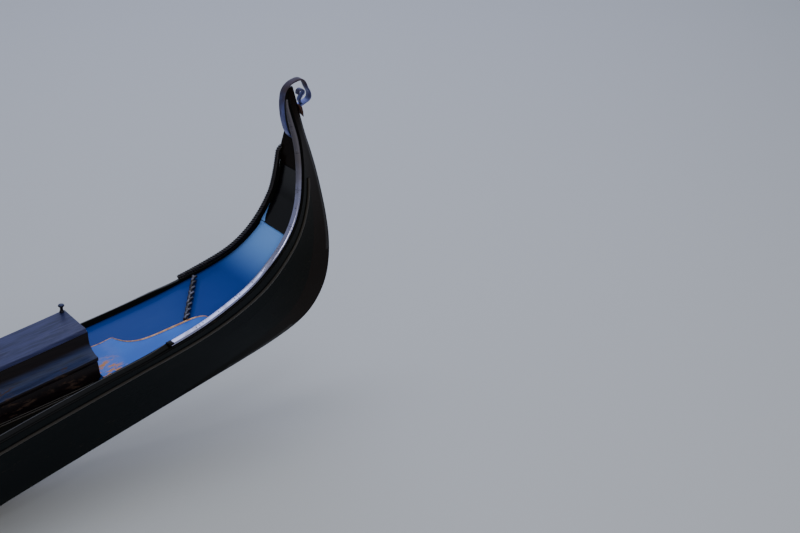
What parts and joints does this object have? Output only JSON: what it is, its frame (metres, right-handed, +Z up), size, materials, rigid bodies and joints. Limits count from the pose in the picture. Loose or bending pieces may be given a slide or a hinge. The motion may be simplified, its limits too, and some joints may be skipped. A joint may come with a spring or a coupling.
{
  "type": "gondola boat",
  "caption": "Long narrow flat-bottomed rowing boat with a high curled stern, comb-shaped bow iron, cushioned seats and decked ends.",
  "frame": {"origin": "under the middle of the hull, on the flat of the bottom", "axes": "+X toward the bow, +Y to port, +Z up"},
  "size_m": [10.896, 1.4316, 1.9873],
  "materials": {
    "black_lacquer": "gloss",
    "oiled_wood": "satin",
    "worn_wood": "worn satin",
    "blue_deck": "gloss",
    "blue_board": "gloss",
    "white_metal": "worn satin",
    "brass": "satin",
    "black_leather": "satin"
  },
  "bodies": {
    "hull": {"stern_post": "black_lacquer", "bottom": "black_lacquer", "stem_post": "black_lacquer", "port_lower_plank": "black_lacquer", "port_upper_plank": "black_lacquer", "starboard_lower_plank": "black_lacquer", "starboard_upper_plank": "black_lacquer", "port_gunwale": "black_lacquer", "port_rubbing_bead": "black_lacquer", "starboard_gunwale": "black_lacquer", "starboard_rubbing_bead": "black_lacquer", "port_rail_band": "white_metal", "starboard_rail_rope": "black_lacquer", "stern_deck": "blue_deck", "stern_end_deck": "black_lacquer", "port_covering_board": "blue_board", "deck_rope": "black_lacquer", "cover_body": "worn_wood", "cover_top": "worn_wood", "cover_knob": "black_lacquer", "port_foredeck": "black_lacquer", "starboard_foredeck": "black_lacquer", "aft_deck_beam": "black_lacquer", "fore_deck_beam": "black_lacquer", "aft_bulkhead": "black_lacquer", "fore_bulkhead": "black_lacquer", "locker_hinge": "brass", "middle_floor": "oiled_wood", "aft_floor": "oiled_wood", "fore_floor": "oiled_wood", "aft_thwart": "oiled_wood", "aft_step_riser": "oiled_wood", "fore_thwart": "oiled_wood", "fore_step_riser": "oiled_wood", "port_frames": "oiled_wood", "starboard_frames": "oiled_wood", "seat_box": "black_lacquer", "seat_cushion": "black_leather", "back_cushion": "black_leather", "seat_back": "black_lacquer", "port_seat_arm": "black_lacquer", "starboard_seat_arm": "black_lacquer", "port_bench": "black_lacquer", "port_bench_cushion": "black_leather", "starboard_bench": "black_lacquer", "starboard_bench_cushion": "black_leather", "rowlock": "oiled_wood", "rowlock_block": "black_lacquer", "port_sea_horse": "brass", "starboard_sea_horse": "brass", "stern_iron": "white_metal", "bow_iron": "white_metal"},
    "locker_door": {"locker_door": "oiled_wood"}
  },
  "joints": [
    {"name": "locker_door_hinge", "type": "hinge", "parent": "hull", "child": "locker_door", "pos_m": [2.72676, 0.238, 0.445], "axis": [0, 0, -1], "range_deg": [0, 100]}
  ]
}
